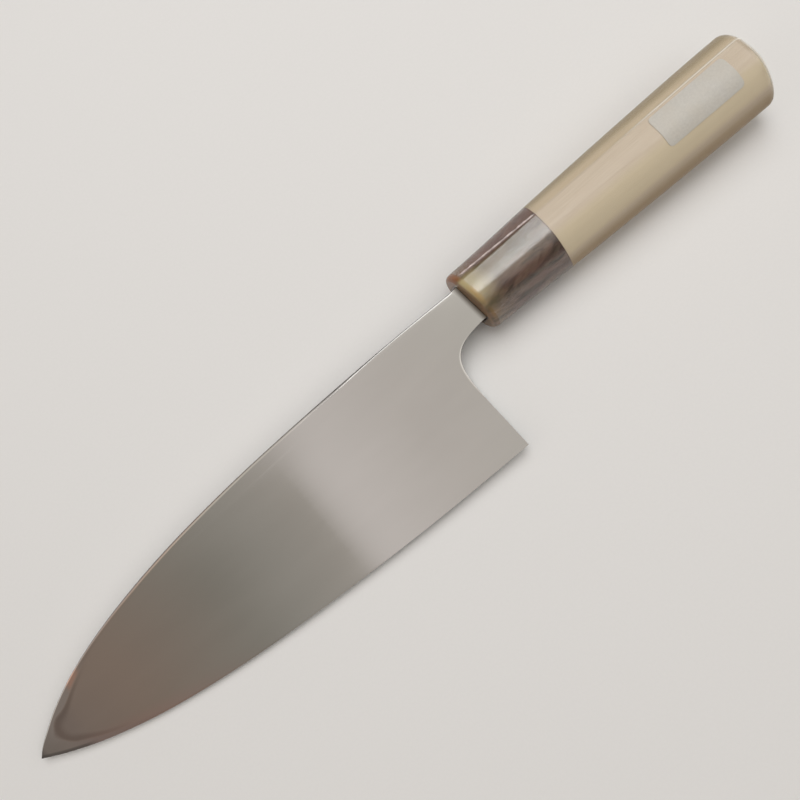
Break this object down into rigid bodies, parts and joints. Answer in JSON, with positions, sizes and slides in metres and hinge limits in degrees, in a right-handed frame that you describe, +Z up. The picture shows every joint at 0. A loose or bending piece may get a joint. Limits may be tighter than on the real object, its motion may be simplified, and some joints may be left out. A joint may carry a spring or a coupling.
{
  "type": "deba knife",
  "caption": "Single-bevel deba kitchen knife with a thick hollow-backed steel blade, horn ferrule and ridged wooden handle in clear film, lying on its side.",
  "frame": {"origin": "bottom centre of the bounding box, on the table that the knife lies on", "axes": "+X runs from the tip to the butt of the handle, +Y from the cutting edge to the spine, and +Z points up, out of the hollow-ground back, with the knife lying as it rests"},
  "size_m": [0.358, 0.0668, 0.0286],
  "materials": {
    "blade_steel": "fine satin polish",
    "horn": "polished marbled water buffalo horn",
    "handle_wood": "smooth sanded magnolia wood",
    "bedding_resin": "set amber resin",
    "clear_film": "clear glossy shrunk film",
    "label_paper": "thin semi-matt paper"
  },
  "bodies": {
    "root": {"blade": "blade_steel", "ferrule": "horn", "handle": "handle_wood", "tang_bedding": "bedding_resin", "handle_film": "clear_film", "label": "label_paper"}
  },
  "joints": []
}
